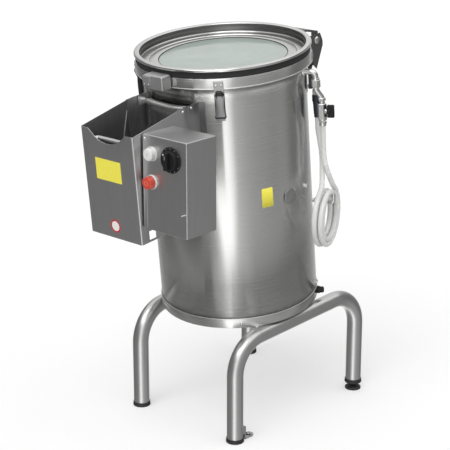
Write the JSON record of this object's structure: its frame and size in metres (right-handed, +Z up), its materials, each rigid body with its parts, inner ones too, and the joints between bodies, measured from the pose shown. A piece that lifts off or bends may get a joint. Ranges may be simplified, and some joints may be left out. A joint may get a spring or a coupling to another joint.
{
  "type": "onion peeling machine",
  "caption": "Floor-standing onion peeling machine: a steel drum on bent-tube legs, with hinged glass lid, gate and chute, control box, and a coiled water hose on its valve.",
  "frame": {"origin": "on the floor, under the centre of the machine's outline without its hose", "axes": "+Z up along the machine's height; -Y is the front, with the outlet chute and the control box; +X is the machine's left as it looks out, the side with the control box and the water valve"},
  "size_m": [0.4467, 0.6786, 0.9054],
  "materials": {
    "steel": "satin brushed stainless steel",
    "dark_steel": "dull, dark brushed steel",
    "black_metal": "satin black",
    "cast_grey": "rough grey casting",
    "motor_paint": "satin dark blue paint",
    "aluminium": "turned",
    "abrasive": "coarse grit bonded to the disc",
    "liner": "matt, fine grit",
    "rubber": "matt black",
    "glass": "clear with a pale green tint",
    "clear_hose": "clear, slightly milky",
    "black_plastic": "satin black",
    "dark_plastic": "satin dark grey",
    "grey_plastic": "satin grey",
    "white_plastic": "smooth off-white",
    "red_plastic": "smooth red",
    "blue_black_plastic": "smooth blue-black"
  },
  "bodies": {
    "machine": {"base_plate": "steel", "bearing_housing": "cast_grey", "bottom_band": "steel", "box_bracket": "steel", "cable_gland": "black_plastic", "chamber_floor": "steel", "chamber_liner": "liner", "chute": "steel", "collar": "steel", "control_box": "steel", "drain_pipe": "grey_plastic", "drive_belt": "rubber", "foot_cap_front_left": "rubber", "foot_cap_front_right": "rubber", "foot_cap_rear_left": "rubber", "foot_cap_rear_right": "rubber", "hinge_bracket": "steel", "hinge_pin": "steel", "hose_clamp": "steel", "hose_coil": "clear_hose", "hose_drop": "clear_hose", "hose_hook": "steel", "hose_tail": "clear_hose", "inlet_elbow": "steel", "interlock_housing": "dark_plastic", "latch_base_1": "steel", "latch_base_2": "steel", "latch_base_3": "steel", "latch_base_4": "steel", "leg_frame_left": "steel", "leg_frame_right": "steel", "motor": "motor_paint", "outer_shell": "steel", "outlet_frame": "steel", "shell_plug": "dark_plastic", "start_bezel": "white_plastic", "stop_bezel": "white_plastic", "tap_connector": "blue_black_plastic", "timer_dial": "black_plastic", "valve_body": "steel"},
    "lid": {"lid_ring": "steel", "lid_gasket": "rubber", "lid_glass": "glass", "lid_hinge_leaf": "steel"},
    "latch_1": {"latch_lever_1": "black_metal"},
    "latch_2": {"latch_lever_2": "black_metal"},
    "latch_3": {"latch_lever_3": "black_metal"},
    "latch_4": {"latch_lever_4": "black_metal"},
    "gate": {"gate_panel": "dark_steel", "gate_rail": "steel"},
    "start": {"start_button": "white_plastic"},
    "stop": {"stop_button": "red_plastic"},
    "timer": {"timer_knob": "black_plastic"},
    "valve": {"valve_handle": "black_plastic"},
    "disc": {"abrasive_disc": "abrasive", "spindle": "steel", "driven_pulley": "aluminium"},
    "rotor": {"motor_pulley": "aluminium"},
    "levelling": {"levelling_foot": "rubber"}
  },
  "joints": [
    {"name": "lid_hinge", "type": "hinge", "parent": "machine", "child": "lid", "pos_m": [-0.017, 0.26588, 0.87102], "axis": [-1, 0, 0], "range_deg": [0, 100]},
    {"name": "latch_1_turn", "type": "hinge", "parent": "machine", "child": "latch_1", "pos_m": [0.10336, -0.11238, 0.76288], "axis": [0.7804, 0.6221, 0.063], "range_deg": [0, 90]},
    {"name": "latch_2_turn", "type": "hinge", "parent": "machine", "child": "latch_2", "pos_m": [0.13323, 0.15684, 0.79013], "axis": [-0.6252, 0.7765, 0.0786], "range_deg": [0, 90]},
    {"name": "latch_3_turn", "type": "hinge", "parent": "machine", "child": "latch_3", "pos_m": [-0.13736, 0.18656, 0.79314], "axis": [-0.7804, -0.6221, -0.063], "range_deg": [0, 90]},
    {"name": "latch_4_turn", "type": "hinge", "parent": "machine", "child": "latch_4", "pos_m": [-0.16723, -0.08266, 0.76589], "axis": [0.6252, -0.7765, -0.0786], "range_deg": [0, 90]},
    {"name": "gate_hinge", "type": "hinge", "parent": "machine", "child": "gate", "pos_m": [-0.017, -0.16058, 0.78464], "axis": [-1, 0, 0], "range_deg": [0, 60]},
    {"name": "start_press", "type": "slide", "parent": "machine", "child": "start", "axis": [0, 1, 0], "range_m": [0, 0.003], "stiffness_N_per_m": 300},
    {"name": "stop_press", "type": "slide", "parent": "machine", "child": "stop", "axis": [0, 1, 0], "range_m": [0, 0.003], "stiffness_N_per_m": 300},
    {"name": "timer_turn", "type": "hinge", "parent": "machine", "child": "timer", "pos_m": [0.145, -0.3116, 0.715], "axis": [0, 1, 0], "range_deg": [0, 300]},
    {"name": "valve_turn", "type": "hinge", "parent": "machine", "child": "valve", "pos_m": [0.19855, 0.13675, 0.74639], "axis": [0.9135, 0.4047, 0.041], "range_deg": [0, 90]},
    {"name": "disc_spin", "type": "hinge", "parent": "machine", "child": "disc", "pos_m": [-0.017, 0.0884, 0.2711], "axis": [0, -0.1007, 0.9949], "continuous": true},
    {"name": "rotor_spin", "type": "hinge", "parent": "machine", "child": "rotor", "pos_m": [0.098, 0.0884, 0.2711], "axis": [0, -0.1007, 0.9949], "continuous": true},
    {"name": "foot_slide", "type": "slide", "parent": "machine", "child": "levelling", "axis": [0, 0, -1], "range_m": [0, 0.01]}
  ],
  "couplings": [
    {"joint": "rotor_spin", "follows": "disc_spin", "ratio": 4}
  ]
}
